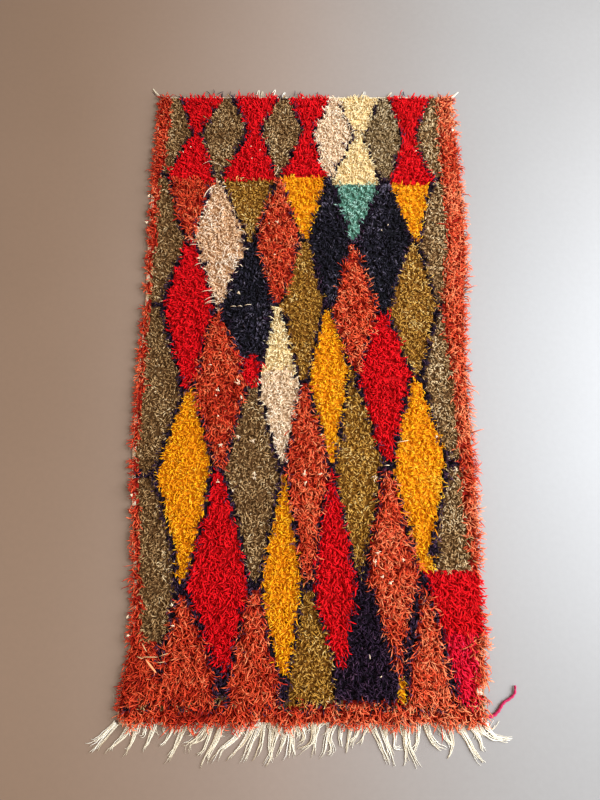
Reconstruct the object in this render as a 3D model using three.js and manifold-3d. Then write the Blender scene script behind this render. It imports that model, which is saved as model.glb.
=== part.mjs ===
// A knotted pile rug that lies flat on the floor, in millimetres, +Z up.
// The fringed end is at -Y, the plain end at +Y, and the origin is under the middle of the whole.

import * as THREE from 'three';
import { mergeVertices } from 'three/addons/utils/BufferGeometryUtils.js';
import Module from 'manifold-3d';

const wasm = await Module();
wasm.setup();

// Driving sizes of the knotted body
const fringedEdge = -952;
const plainEdge = 1030;
const pileAtPlainEnd = 24;
const pileAtFringedEnd = 29;
const edgeHeight = 11;
const edgeRounding = 30;
const roundingShares = [0, 0.12, 0.35, 1];
const waveHeight = 1.2;
const waveAcross = 90;
const waveAlong = 130;
const stationsAcross = 16;
const stationsAlong = 34;

// The two long sides wander, so each row gives where they lie at one height up the rug
const sides = [
  { y: -952, left: -505, right: 519 },
  { y: -890, left: -507, right: 520 },
  { y: -800, left: -490, right: 528 },
  { y: -700, left: -484, right: 530 },
  { y: -580, left: -487, right: 526 },
  { y: -465, left: -493, right: 527 },
  { y: -300, left: -507, right: 532 },
  { y: -170, left: -511, right: 527 },
  { y: -50, left: -511, right: 524 },
  { y: 115, left: -506, right: 525 },
  { y: 280, left: -500, right: 532 },
  { y: 375, left: -501, right: 543 },
  { y: 470, left: -502, right: 549 },
  { y: 600, left: -502, right: 546 },
  { y: 710, left: -500, right: 543 },
  { y: 820, left: -496, right: 541 },
  { y: 930, left: -492, right: 538 },
  { y: 1030, left: -488, right: 534 },
];

// The warp that is left over at both ends
const seam = 0.3;
const warpThickness = 4;
const fringeHeading = 18;
const plainHeading = 7;
const tipShare = 0.4;
const bundleSteps = 8;
const mergeWithin = 1e-4;

// Each bundle of warp ends leaves the heading at root, bends and runs out to its tip
const fringeBundles = [
  { root: -503, bendX: -544, bendY: -1000, tipX: -577, tipY: -1035, width: 10 },
  { root: -506, bendX: -547, bendY: -994, tipX: -587, tipY: -1008, width: 6 },
  { root: -461, bendX: -495, bendY: -1003, tipX: -531, tipY: -1033, width: 12 },
  { root: -446, bendX: -458, bendY: -1013, tipX: -484, tipY: -1035, width: 8 },
  { root: -397, bendX: -412, bendY: -1005, tipX: -431, tipY: -1028, width: 9 },
  { root: -342, bendX: -360, bendY: -1003, tipX: -382, tipY: -1013, width: 6 },
  { root: -315, bendX: -335, bendY: -1013, tipX: -365, tipY: -1054, width: 11 },
  { root: -249, bendX: -281, bendY: -998, tipX: -319, tipY: -1007, width: 9 },
  { root: -246, bendX: -278, bendY: -1010, tipX: -312, tipY: -1028, width: 7 },
  { root: -238, bendX: -253, bendY: -1018, tipX: -279, tipY: -1040, width: 6 },
  { root: -210, bendX: -239, bendY: -1018, tipX: -266, tipY: -1064, width: 11 },
  { root: -153, bendX: -184, bendY: -1008, tipX: -241, tipY: -1047, width: 11 },
  { root: -127, bendX: -160, bendY: -1013, tipX: -192, tipY: -1050, width: 9 },
  { root: -108, bendX: -132, bendY: -1018, tipX: -170, tipY: -1057, width: 13 },
  { root: -98, bendX: -97, bendY: -1005, tipX: -125, tipY: -1050, width: 7 },
  { root: -72, bendX: -86, bendY: -1010, tipX: -72, tipY: -1052, width: 9 },
  { root: -50, bendX: -68, bendY: -1013, tipX: -99, tipY: -1057, width: 9 },
  { root: -31, bendX: -42, bendY: -1003, tipX: -66, tipY: -1042, width: 9 },
  { root: -24, bendX: -28, bendY: -1020, tipX: -33, tipY: -1054, width: 7 },
  { root: -16, bendX: -16, bendY: -1013, tipX: -20, tipY: -1045, width: 7 },
  { root: -4, bendX: 22, bendY: -1000, tipX: -6, tipY: -1014, width: 7 },
  { root: 38, bendX: 35, bendY: -1005, tipX: 5, tipY: -1041, width: 9 },
  { root: 52, bendX: 46, bendY: -1005, tipX: 27, tipY: -1037, width: 8 },
  { root: 85, bendX: 79, bendY: -1003, tipX: 51, tipY: -1037, width: 9 },
  { root: 98, bendX: 90, bendY: -1003, tipX: 70, tipY: -1028, width: 8 },
  { root: 121, bendX: 109, bendY: -993, tipX: 110, tipY: -1020, width: 9 },
  { root: 145, bendX: 131, bendY: -995, tipX: 131, tipY: -1028, width: 8 },
  { root: 167, bendX: 153, bendY: -993, tipX: 139, tipY: -1015, width: 8 },
  { root: 196, bendX: 178, bendY: -996, tipX: 150, tipY: -1001, width: 5 },
  { root: 199, bendX: 213, bendY: -1003, tipX: 245, tipY: -1054, width: 10 },
  { root: 225, bendX: 241, bendY: -1008, tipX: 255, tipY: -1060, width: 10 },
  { root: 236, bendX: 243, bendY: -1005, tipX: 243, tipY: -1053, width: 8 },
  { root: 256, bendX: 257, bendY: -1003, tipX: 281, tipY: -1025, width: 9 },
  { root: 295, bendX: 295, bendY: -1018, tipX: 329, tipY: -1070, width: 9 },
  { root: 288, bendX: 289, bendY: -1018, tipX: 292, tipY: -1065, width: 8 },
  { root: 327, bendX: 326, bendY: -1005, tipX: 306, tipY: -1028, width: 9 },
  { root: 349, bendX: 356, bendY: -1003, tipX: 396, tipY: -1023, width: 10 },
  { root: 387, bendX: 405, bendY: -1005, tipX: 418, tipY: -1018, width: 8 },
  { root: 409, bendX: 429, bendY: -1018, tipX: 408, tipY: -1045, width: 7 },
  { root: 441, bendX: 457, bendY: -1015, tipX: 506, tipY: -1050, width: 11 },
  { root: 467, bendX: 493, bendY: -1000, tipX: 526, tipY: -1028, width: 9 },
  { root: 488, bendX: 502, bendY: -1003, tipX: 551, tipY: -948, width: 9 },
  { root: 505, bendX: 515, bendY: -1000, tipX: 587, tipY: -997, width: 20 },
];

// The few warp loops and single threads that stand past the plain end
const plainEnds = [
  { root: -482, bendX: -496, bendY: 1048, tipX: -511, tipY: 1070, width: 5 },
  { root: -144, bendX: -145, bendY: 1048, tipX: -141, tipY: 1063, width: 8 },
  { root: -130, bendX: -131, bendY: 1046, tipX: -128, tipY: 1059, width: 6 },
  { root: -94, bendX: -92, bendY: 1050, tipX: -84, tipY: 1066, width: 9 },
  { root: -55, bendX: -56, bendY: 1044, tipX: -51, tipY: 1055, width: 7 },
  { root: 224, bendX: 222, bendY: 1044, tipX: 227, tipY: 1058, width: 8 },
  { root: 308, bendX: 310, bendY: 1042, tipX: 321, tipY: 1055, width: 5 },
  { root: 528, bendX: 540, bendY: 1042, tipX: 553, tipY: 1056, width: 5 },
];

// The loose crimson end that has worked out of the pile by the fringed corner
const yarnDiameter = 7;
const yarnSides = 8;
const yarnSteps = 22;
const yarnFloorGap = 0.1;
const yarnRoute = [
  { x: 519.4, y: -937 },
  { x: 531, y: -937 },
  { x: 542, y: -931 },
  { x: 552, y: -921 },
  { x: 559, y: -911 },
  { x: 568, y: -901 },
  { x: 582, y: -893 },
  { x: 593, y: -885 },
  { x: 600, y: -874 },
  { x: 601, y: -858 },
];

function cloth(color, roughness) {
  return new THREE.MeshStandardMaterial({ color, roughness, metalness: 0 });
}

// A side's place at height y, on a smooth curve through the rows of the table
function sideCurve(key) {
  const points = sides.map((row) => new THREE.Vector2(row[key], row.y));
  const curve = new THREE.SplineCurve(points);
  return (y) => {
    const row = Math.max(1, sides.findIndex((entry) => entry.y >= y));
    const from = sides[row - 1].y;
    const share = (y - from) / (sides[row].y - from);
    return curve.getPoint((row - 1 + share) / (sides.length - 1)).x;
  };
}

// Distances along a span: a few close together at each end for the rounding, then even steps
function stations(span, count) {
  const nearEdge = roundingShares.map((share) => share * edgeRounding);
  const inner = span - 2 * edgeRounding;
  const middle = [];
  for (let step = 1; step < count; step += 1) {
    middle.push(edgeRounding + (inner * step) / count);
  }
  return [...nearEdge, ...middle, ...nearEdge.map((reach) => span - reach).reverse()];
}

// Height of the pile: rounded down to the edges, rising towards the fringed end, with a slow wave
function pileTop(inset, x, y) {
  const toPlain = (y - fringedEdge) / (plainEdge - fringedEdge);
  const full = THREE.MathUtils.lerp(pileAtFringedEnd, pileAtPlainEnd, toPlain);
  const drop = 1 - Math.min(1, inset / edgeRounding);
  const wave = waveHeight * Math.sin(x / waveAcross) * Math.sin(y / waveAlong) * (1 - drop);
  return edgeHeight + (full - edgeHeight) * Math.sqrt(1 - drop * drop) + wave;
}

// One closed slab: a grid of pile heights, a wall round it and one flat underside
function rugBody() {
  const left = sideCurve('left');
  const right = sideCurve('right');
  const length = plainEdge - fringedEdge;
  const rows = stations(length, stationsAlong);
  const nominal = right(0) - left(0);
  const columns = stations(nominal, stationsAcross);
  const wide = columns.length;
  const positions = [];
  for (const along of rows) {
    const y = fringedEdge + along;
    for (const across of columns) {
      const x = THREE.MathUtils.lerp(left(y), right(y), across / nominal);
      const inset = Math.min(across, nominal - across, along, length - along);
      positions.push(x, y, pileTop(inset, x, y));
    }
  }
  const faces = [];
  for (let row = 0; row + 1 < rows.length; row += 1) {
    for (let column = 0; column + 1 < wide; column += 1) {
      const corner = row * wide + column;
      faces.push(corner, corner + 1, corner + wide + 1);
      faces.push(corner, corner + wide + 1, corner + wide);
    }
  }
  addWallAndUnderside(positions, faces, boundaryOf(rows.length, wide));
  const geometry = new THREE.BufferGeometry();
  geometry.setAttribute('position', new THREE.Float32BufferAttribute(positions, 3));
  geometry.setIndex(faces);
  return geometry;
}

// The grid's outer corners, once round against the clock as seen from above
function boundaryOf(high, wide) {
  const loop = [];
  for (let column = 0; column < wide - 1; column += 1) loop.push(column);
  for (let row = 0; row < high - 1; row += 1) loop.push(row * wide + wide - 1);
  for (let column = wide - 1; column > 0; column -= 1) loop.push((high - 1) * wide + column);
  for (let row = high - 1; row > 0; row -= 1) loop.push(row * wide);
  return loop;
}

function addWallAndUnderside(positions, faces, loop) {
  const base = positions.length / 3;
  const outline = loop.map((corner) => {
    const place = new THREE.Vector2(positions[corner * 3], positions[corner * 3 + 1]);
    positions.push(place.x, place.y, 0);
    return place;
  });
  loop.forEach((corner, step) => {
    const next = (step + 1) % loop.length;
    faces.push(corner, base + step, base + next);
    faces.push(corner, base + next, loop[next]);
  });
  for (const [a, b, c] of THREE.ShapeUtils.triangulateShape(outline, [])) {
    faces.push(base + a, base + c, base + b);
  }
}

// A flat tapering tooth along a bent line, thick as the warp
function bundleTooth(row, rootY) {
  const line = new THREE.QuadraticBezierCurve(
    new THREE.Vector2(row.root, rootY),
    new THREE.Vector2(row.bendX, row.bendY),
    new THREE.Vector2(row.tipX, row.tipY),
  );
  const near = [];
  const far = [];
  for (let step = 0; step <= bundleSteps; step += 1) {
    const share = step / bundleSteps;
    const place = line.getPoint(share);
    const along = line.getTangent(share);
    const half = (row.width / 2) * THREE.MathUtils.lerp(1, tipShare, share);
    const inside = share === 1 ? half : 0;
    const middle = place.clone().addScaledVector(along, -inside);
    near.push(new THREE.Vector2(middle.x - along.y * half, middle.y + along.x * half));
    far.push(new THREE.Vector2(middle.x + along.y * half, middle.y - along.x * half));
    if (share === 1) near.push(place);
  }
  return flatPiece([...near, ...far.reverse()]);
}

function flatPiece(outline) {
  return new THREE.ExtrudeGeometry(new THREE.Shape(outline), {
    depth: warpThickness,
    bevelEnabled: false,
  });
}

function toSolid(geometry) {
  const bare = geometry.clone();
  bare.deleteAttribute('normal');
  bare.deleteAttribute('uv');
  const merged = mergeVertices(bare, mergeWithin);
  return new wasm.Manifold(new wasm.Mesh({
    numProp: 3,
    vertProperties: new Float32Array(merged.attributes.position.array),
    triVerts: new Uint32Array(merged.index.array),
  }));
}

function fromSolid(solid) {
  const { vertProperties, triVerts } = solid.getMesh();
  const geometry = new THREE.BufferGeometry();
  geometry.setAttribute('position', new THREE.BufferAttribute(vertProperties, 3));
  geometry.setIndex(new THREE.BufferAttribute(triVerts, 1));
  return geometry;
}

// A woven heading strip along one end, with the bundles of warp that grow out of it
function warpComb(bundles, edge, outward, heading) {
  const near = edge + outward * seam;
  const far = near + outward * heading;
  const rootY = (near + far) / 2;
  const left = sideCurve('left')(edge);
  const right = sideCurve('right')(edge);
  const corners = [[left, near], [right, near], [right, far], [left, far]];
  const strip = corners.map(([x, y]) => new THREE.Vector2(x, y));
  const teeth = bundles.map((row) => toSolid(bundleTooth(row, rootY)));
  const comb = teeth.reduce((whole, tooth) => whole.add(tooth), toSolid(flatPiece(strip)));
  return fromSolid(comb);
}

// A round tube lying on the floor along the loose end's route
function looseYarn() {
  const radius = yarnDiameter / 2;
  const height = radius + yarnFloorGap;
  const points = yarnRoute.map(({ x, y }) => new THREE.Vector3(x, y, height));
  const section = new THREE.Shape();
  for (let side = 0; side < yarnSides; side += 1) {
    const turn = (2 * Math.PI * side) / yarnSides;
    const corner = [radius * Math.cos(turn), radius * Math.sin(turn)];
    if (side === 0) section.moveTo(...corner);
    else section.lineTo(...corner);
  }
  section.closePath();
  return new THREE.ExtrudeGeometry(section, {
    steps: yarnSteps,
    bevelEnabled: false,
    extrudePath: new THREE.CatmullRomCurve3(points, false, 'centripetal'),
  });
}

function named(name, geometry, material) {
  const mesh = new THREE.Mesh(geometry, material);
  mesh.name = name;
  return mesh;
}

const rug = new THREE.Group();
rug.add(named('rug_body', rugBody(), cloth(0xb4432c, 0.95)));
rug.add(named(
  'warp_fringe',
  warpComb(fringeBundles, fringedEdge, -1, fringeHeading),
  cloth(0xe3d9c0, 0.9),
));
rug.add(named(
  'plain_end_warps',
  warpComb(plainEnds, plainEdge, 1, plainHeading),
  cloth(0xe3d9c0, 0.9),
));
rug.add(named('loose_yarn_end', looseYarn(), cloth(0xc01848, 0.9)));

export default rug;
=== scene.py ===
import math

import bpy
import numpy as np
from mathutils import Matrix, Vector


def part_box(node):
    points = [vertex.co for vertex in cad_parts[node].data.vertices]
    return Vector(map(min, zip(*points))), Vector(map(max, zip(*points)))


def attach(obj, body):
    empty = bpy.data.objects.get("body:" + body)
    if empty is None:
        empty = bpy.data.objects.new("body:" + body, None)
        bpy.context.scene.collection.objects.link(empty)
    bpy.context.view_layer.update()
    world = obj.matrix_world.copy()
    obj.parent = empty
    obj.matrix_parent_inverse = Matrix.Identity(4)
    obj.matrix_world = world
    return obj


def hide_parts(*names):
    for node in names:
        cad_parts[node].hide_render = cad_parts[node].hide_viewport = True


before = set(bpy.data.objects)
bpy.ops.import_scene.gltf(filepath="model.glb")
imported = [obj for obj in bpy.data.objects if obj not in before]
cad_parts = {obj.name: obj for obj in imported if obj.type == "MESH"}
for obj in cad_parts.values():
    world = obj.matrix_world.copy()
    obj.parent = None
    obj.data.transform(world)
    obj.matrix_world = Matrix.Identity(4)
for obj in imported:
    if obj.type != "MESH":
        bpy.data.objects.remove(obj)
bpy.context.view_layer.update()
mm = 0.001
tiny = 1e-9
print("frame loaded:", ", ".join(sorted(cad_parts)))

# Camera, over the fringed end and looking down the rug
camera = {
    "place": (0.002, -0.443, 1.810),
    "tilt": 12.5,  # degrees away from straight down
    "lens": 27.0,  # on the sensor's long side
    "sensor": 36.0,
    "farthest": 50.0,
}


def setCamera(values):
    data = bpy.data.cameras.new("camera")
    data.lens = values["lens"]
    data.sensor_width = values["sensor"]
    data.clip_end = values["farthest"]
    eye = bpy.data.objects.new("camera", data)
    eye.location = values["place"]
    eye.rotation_euler = (math.radians(values["tilt"]), 0, 0)
    bpy.context.scene.collection.objects.link(eye)
    bpy.context.scene.camera = eye


setCamera(camera)


# Colours are given as a paint chart gives them, 0 to 255, and the usual sRGB curve turns them
# into light values
def paint(red, green, blue):
    share = np.array([red, green, blue]) / 255
    light = np.where(share <= 0.04045, share / 12.92, ((share + 0.055) / 1.055) ** 2.4)
    return (*light.tolist(), 1.0)


# An operator of Signal: it adds a Math node, with the values the other way round if reflected
def mathNode(operation, reflected=False):
    def apply(self, other):
        values = (other, self) if reflected else (self, other)
        return self.calc(operation, *values)
    return apply


class Signal:
    # One output of a node
    def __init__(self, finish, socket):
        self.finish = finish
        self.socket = socket

    def calc(self, operation, *values):
        inputs = dict(enumerate(values))
        return self.finish.add("ShaderNodeMath", {"operation": operation}, inputs)

    def pick(self, name):
        return Signal(self.finish, self.socket.node.outputs[name])

    __add__ = mathNode("ADD")
    __radd__ = mathNode("ADD", reflected=True)
    __sub__ = mathNode("SUBTRACT")
    __rsub__ = mathNode("SUBTRACT", reflected=True)
    __mul__ = mathNode("MULTIPLY")
    __rmul__ = mathNode("MULTIPLY", reflected=True)
    __truediv__ = mathNode("DIVIDE")
    __rtruediv__ = mathNode("DIVIDE", reflected=True)

    def __abs__(self):
        return self.calc("ABSOLUTE", self)

    def floor(self):
        return self.calc("FLOOR", self)

    def fraction(self):
        return self.calc("FRACT", self)

    def sine(self):
        return self.calc("SINE", self)


class Finish:
    # One material. add() makes any node from its type, its settings and its inputs, and gives
    # one of its outputs.
    def __init__(self, name):
        self.material = bpy.data.materials.new(name)
        self.material.use_nodes = True
        self.tree = self.material.node_tree
        self.tree.nodes.clear()

    def add(self, kind, settings={}, inputs={}, output=0):
        node = self.tree.nodes.new(kind)
        for key, value in settings.items():
            if key == "stops":
                self.setStops(node.color_ramp, value)
            else:
                setattr(node, key, value)
        for key, value in inputs.items():
            if isinstance(value, Signal):
                self.tree.links.new(value.socket, node.inputs[key])
            else:
                node.inputs[key].default_value = value
        return Signal(self, node.outputs[output]) if node.outputs else None

    def setStops(self, ramp, colours):
        places = np.linspace(0, 1, len(colours))
        while len(ramp.elements) < len(colours):
            ramp.elements.new(0.5)
        for element, place, colour in zip(ramp.elements, places, colours):
            element.position = place
            element.color = colour

    def ramp(self, place, colours):
        return self.add("ShaderNodeValToRGB", {"stops": colours}, {"Fac": place})

    def mix(self, factor, first, second):
        inputs = {0: factor, 6: first, 7: second}
        return self.add("ShaderNodeMix", {"data_type": "RGBA"}, inputs, 2)

    def scale(self, colour, amount):
        inputs = {0: colour, "Scale": amount}
        return self.add("ShaderNodeVectorMath", {"operation": "SCALE"}, inputs)

    # atLow up to low, then smoothly up or down to atHigh at high
    def between(self, value, low, high, atLow=0.0, atHigh=1.0):
        settings = {"interpolation_type": "SMOOTHSTEP"}
        inputs = {"Value": value, 1: low, 2: high, 3: atLow, 4: atHigh}
        return self.add("ShaderNodeMapRange", settings, inputs)

    def noise(self, vector, scale, detail):
        inputs = {"Vector": vector, "Scale": scale, "Detail": detail}
        return self.add("ShaderNodeTexNoise", {}, inputs)

    def bump(self, height, strength, distance):
        inputs = {"Strength": strength, "Distance": distance, "Height": height}
        return self.add("ShaderNodeBump", {}, inputs)

    def close(self, inputs):
        surface = self.add("ShaderNodeBsdfPrincipled", {}, inputs)
        self.add("ShaderNodeOutputMaterial", {}, {"Surface": surface})
        return self.material


# Every strand is a tube whose map is one column of a colour card: the column is the strand's
# shade, once round the strand is across the column, and the strand's length runs up it.
card = {
    "columns": 16,
    "margin": 0.08,  # of a column, left free on each side
    "layer": "OFBake",
    "capRadius": 0.3,  # a blunt tube's flat ends lie on a flat disc, this wide and high
    "capHeight": 0.02,
}
steepest = 0.9  # a path that starts with more rise than this gets another first side vector


# Yarn or cloth whose relief is 0 in its grooves and 1 between them. Grooves are lower and have
# painted shade, and fuzz is added to the light, the roughness and the height.
def clothSurface(finish, colour, relief, place, look):
    fuzz = finish.noise(place, look["fuzzScale"], look["fuzzDetail"])
    grooveShade = finish.between(relief, 0.0, look["grooveWidth"], atLow=look["grooveLight"])
    height = relief + look["fuzzHeight"] * fuzz
    return finish.close({
        "Base Color": finish.scale(colour, grooveShade * (look["light"] + look["fuzzLight"] * fuzz)),
        "Roughness": look["roughness"] + look["fuzzRoughness"] * fuzz,
        "Specular IOR Level": look["specular"],
        "Normal": finish.bump(height, look["bump"], look["bumpHeight"] * mm),
    })


yarnLook = {
    # deep: where along a strand the painted shade at its root gives way to its own shades
    "deep": (0.15, 0.82),  # all deep coloured below the first height, and not above the second
    # The grooves' painted shade fades out over grooveWidth of the relief and leaves them grooveLight as
    # light
    "grooveWidth": 0.7,
    "grooveLight": 0.74,
    "fuzzScale": 90.0,
    "fuzzDetail": 3.0,
    "light": 0.8,
    "fuzzLight": 0.4,
    "roughness": 0.78,
    "fuzzRoughness": 0.2,
    "specular": 0.2,
    "fuzzHeight": 0.3,
    "bump": 0.6,
    "bumpHeight": 0.6,  # mm
}


# A yarn of twisted plies: the line between two plies is where the sine of its place round the
# strand and along it is 0, and is painted darker there. A folded strand has painted shade, its deep
# colour, where it is bent round the warps deep in the pile, at the middle of its length, and its
# height is how far it is from there.
def yarnFinish(name, shades, deep=None, plies=2, turns=6):
    finish = Finish(name)
    place = finish.add("ShaderNodeUVMap", {"uv_map": card["layer"]})
    across = finish.add("ShaderNodeSeparateXYZ", {}, {0: place}, "X")
    along = across.pick("Y")
    shade = (across * card["columns"]).floor() / (card["columns"] - 1)
    roundStrand = (across * card["columns"]).fraction()
    ply = abs((math.pi * (roundStrand * plies + along * turns)).sine())
    colour = finish.ramp(shade, shades)
    if deep:
        height = abs(along * 2 - 1)
        # Painted shade: towards its root the strand takes the deep colour, as if shaded by the pile around
        # it
        colour = finish.mix(finish.between(height, *yarnLook["deep"]), deep, colour)
    return clothSurface(finish, colour, ply, place, yarnLook)


# The same directions with length 1
def unit(vectors):
    return vectors / np.maximum(np.linalg.norm(vectors, axis=-1, keepdims=True), tiny)


# Directions square to each path: the side vector starts level and is laid back square to the
# path's tangent at each later point, so that a tube never twists of itself
def squareTo(paths):
    tangents = unit(np.gradient(paths, axis=1))
    steep = abs(tangents[:, :1, 2]) > steepest
    start = np.where(steep, np.array([1.0, 0, 0]), np.array([0, 0, 1.0]))
    sides = [unit(np.cross(tangents[:, 0], start))]
    for tangent in np.moveaxis(tangents[:, 1:], 1, 0):
        last = sides[-1]
        sides.append(unit(last - (last * tangent).sum(-1, keepdims=True) * tangent))
    sides = np.stack(sides, axis=1)
    return sides, np.cross(tangents, sides)


# Tubes along many paths at once: a point is the path's point plus the radius times
# (cos a * side + sin a * other), with a going once round. A pointed tube's first and last path
# points are its tips; a blunt one is cut off flat there. Heights are the path points' places up
# the colour card. Returns points, corners, sizes and map.
def tubes(paths, radii, around, shade, pointed, heights):
    count, stations = paths.shape[:2]
    sides, others = squareTo(paths)
    rings = slice(1, -1) if pointed else slice(None)
    turn = 2 * math.pi * np.arange(around) / around
    reach = radii if radii.ndim == 3 else radii[..., None]
    reach = np.broadcast_to(reach, (count, stations, around))[:, rings]
    centre = paths[:, rings, None]
    wall = centre + reach[..., None] * (
        np.cos(turn)[:, None] * sides[:, rings, None]
        + np.sin(turn)[:, None] * others[:, rings, None]
    )
    ringCount = wall.shape[1]
    points = wall.reshape(count, -1, 3)
    ring, step = np.meshgrid(np.arange(ringCount - 1), np.arange(around), indexing="ij")
    after = (step + 1) % around
    quads = np.stack([
        ring * around + step,
        ring * around + after,
        (ring + 1) * around + after,
        (ring + 1) * around + step,
    ], axis=-1).reshape(-1, 4)
    level = heights[rings]
    quadMap = np.stack([
        np.stack([step, step + 1, step + 1, step], axis=-1) / around,
        np.stack([level[ring], level[ring], level[ring + 1], level[ring + 1]], axis=-1),
    ], axis=-1).reshape(-1, 4, 2)
    first = np.arange(around)
    last = first + (ringCount - 1) * around
    if pointed:
        points = np.concatenate([points, paths[:, [0, -1]]], axis=1)
        tips = ringCount * around
        behind = np.roll(first, -1)
        ends = np.concatenate([
            np.stack([behind, first, np.full(around, tips)], axis=-1),
            np.stack([last, np.roll(last, -1), np.full(around, tips + 1)], axis=-1),
        ])
        spread = np.stack([first + 1, first, first + 0.5], axis=-1) / around
        rise = np.broadcast_to([level[0], level[0], heights[0]], spread.shape)
        startMap = np.stack([spread, rise], axis=-1)
        spread = np.stack([first, first + 1, first + 0.5], axis=-1) / around
        rise = np.broadcast_to([level[-1], level[-1], heights[-1]], spread.shape)
        endMap = np.concatenate([startMap, np.stack([spread, rise], axis=-1)])
    else:
        ends = np.stack([first[::-1], last])
        high = card["capHeight"]
        disc = np.stack([0.5 + card["capRadius"] * np.cos(turn), high * np.sin(turn)], axis=-1)
        endMap = np.stack([disc[::-1] + [0, high], disc + [0, 1 - high]])
    corners = np.concatenate([quads.ravel(), ends.ravel()])
    sizes = np.concatenate([np.full(len(quads), 4), np.full(len(ends), ends.shape[1])])
    pattern = np.concatenate([quadMap.reshape(-1, 2), endMap.reshape(-1, 2)])
    column = np.clip((shade * card["columns"]).astype(int), 0, card["columns"] - 1)
    inner = card["margin"] + (1 - 2 * card["margin"]) * pattern[:, 0]
    cardMap = np.stack([
        (column[:, None] + inner) / card["columns"],
        np.broadcast_to(pattern[:, 1], (count, len(pattern))),
    ], axis=-1)
    offsets = np.arange(count)[:, None] * points.shape[1]
    return (
        points.reshape(-1, 3),
        (corners + offsets).ravel(),
        np.tile(sizes, count),
        cardMap.reshape(-1, 2),
    )


triangles = {}


# A piece from whole arrays: all its points, the corners of face after face, and how many
# corners each face has
def addPiece(name, points, corners, sizes, material, cardMap=None):
    mesh = bpy.data.meshes.new(name)
    mesh.vertices.add(len(points))
    mesh.vertices.foreach_set("co", points.astype(np.float32).ravel())
    mesh.loops.add(len(corners))
    mesh.loops.foreach_set("vertex_index", corners.astype(np.int32))
    mesh.polygons.add(len(sizes))
    mesh.polygons.foreach_set("loop_start", (np.cumsum(sizes) - sizes).astype(np.int32))
    if cardMap is not None:
        layer = mesh.uv_layers.new(name=card["layer"])
        layer.uv.foreach_set("vector", cardMap.astype(np.float32).ravel())
    mesh.update(calc_edges=True)
    mesh.shade_smooth()
    mesh.materials.append(material)
    piece = bpy.data.objects.new(name, mesh)
    bpy.context.scene.collection.objects.link(piece)
    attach(piece, "root")
    triangles[name] = int((sizes - 2).sum())
    return piece


# One piece out of several sets of tubes, the corners of each moved past the points before it
def addTubes(name, tubeParts, material):
    starts = np.cumsum([0] + [len(part[0]) for part in tubeParts])
    points = np.concatenate([part[0] for part in tubeParts])
    corners = np.concatenate([part[1] + start for part, start in zip(tubeParts, starts)])
    sizes = np.concatenate([part[2] for part in tubeParts])
    cardMap = np.concatenate([part[3] for part in tubeParts])
    return addPiece(name, points, corners, sizes, material, cardMap)


# A smooth line through given points: each stretch is the cubic whose slope at a point is
# half the step between its two neighbours
def smoothLine(points, count):
    points = np.asarray(points, float)
    padded = np.concatenate([[2 * points[0] - points[1]], points, [2 * points[-1] - points[-2]]])
    place = np.linspace(0, len(points) - 1, count)
    stretch = np.minimum(place.astype(int), len(points) - 2)
    t = (place - stretch)[:, None]
    a, b, c, d = (padded[stretch + step] for step in range(4))
    return 0.5 * (
        2 * b + (c - a) * t + (2 * a - 5 * b + 4 * c - d) * t**2 + (3 * b - a - 3 * c + d) * t**3
    )


# The loose crimson end by the fringed corner, lying on the floor. Its route is in millimetres.
looseYarn = {
    "route": [
        (519.4, -937),
        (531, -937),
        (542, -931),
        (552, -921),
        (559, -911),
        (568, -901),
        (582, -893),
        (593, -885),
        (600, -874),
        (601, -858),
    ],
    "thickness": 7.0,
    "fullness": 1.25,  # the plies stand out this much past the thickness
    "taper": (1.2, 0.82),  # how thick it is at the pile and at its bare end, as shares of that
    "floorGap": 0.3,
    "stations": 90,
    "around": 10,
    "lobes": 0.2,  # how far the two plies bulge, as a share of the radius
    "twists": 9,
    "shades": [paint(124, 18, 52), paint(182, 36, 80), paint(212, 84, 120)],
    "shade": 0.5,
}


# Two plies laid together: the radius swells twice round the section and the swelling turns
# evenly along the yarn, which thins evenly to its bare end
def twistedYarn(line, radius, values):
    angle = 2 * math.pi * np.arange(values["around"]) / values["around"]
    along = np.linspace(0, 1, len(line))
    turned = angle[None] - math.pi * values["twists"] * along[:, None]
    swell = 1 - values["lobes"] + values["lobes"] * np.cos(2 * turned)
    thin = values["taper"][0] + (values["taper"][1] - values["taper"][0]) * along
    return radius * thin[None, :, None] * swell[None]


# The yarn follows its route just above the floor
def makeLooseYarn(values):
    radius = values["thickness"] / 2 * mm
    height = radius * values["fullness"] * values["taper"][0] + values["floorGap"] * mm
    flat = smoothLine(np.array(values["route"]) * mm, values["stations"])
    line = np.column_stack([flat, np.full(len(flat), height)])
    reach = twistedYarn(line, radius * values["fullness"], values)
    heights = np.linspace(0, 1, len(line))
    shade = np.array([values["shade"]])
    part = tubes(line[None], reach, values["around"], shade, False, heights)
    finish = yarnFinish("crimson yarn", values["shades"], turns=values["twists"])
    yarn = addTubes("loose_yarn", [part], finish)
    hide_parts("loose_yarn_end")
    values["thickness"] * mm


makeLooseYarn(looseYarn)
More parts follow.
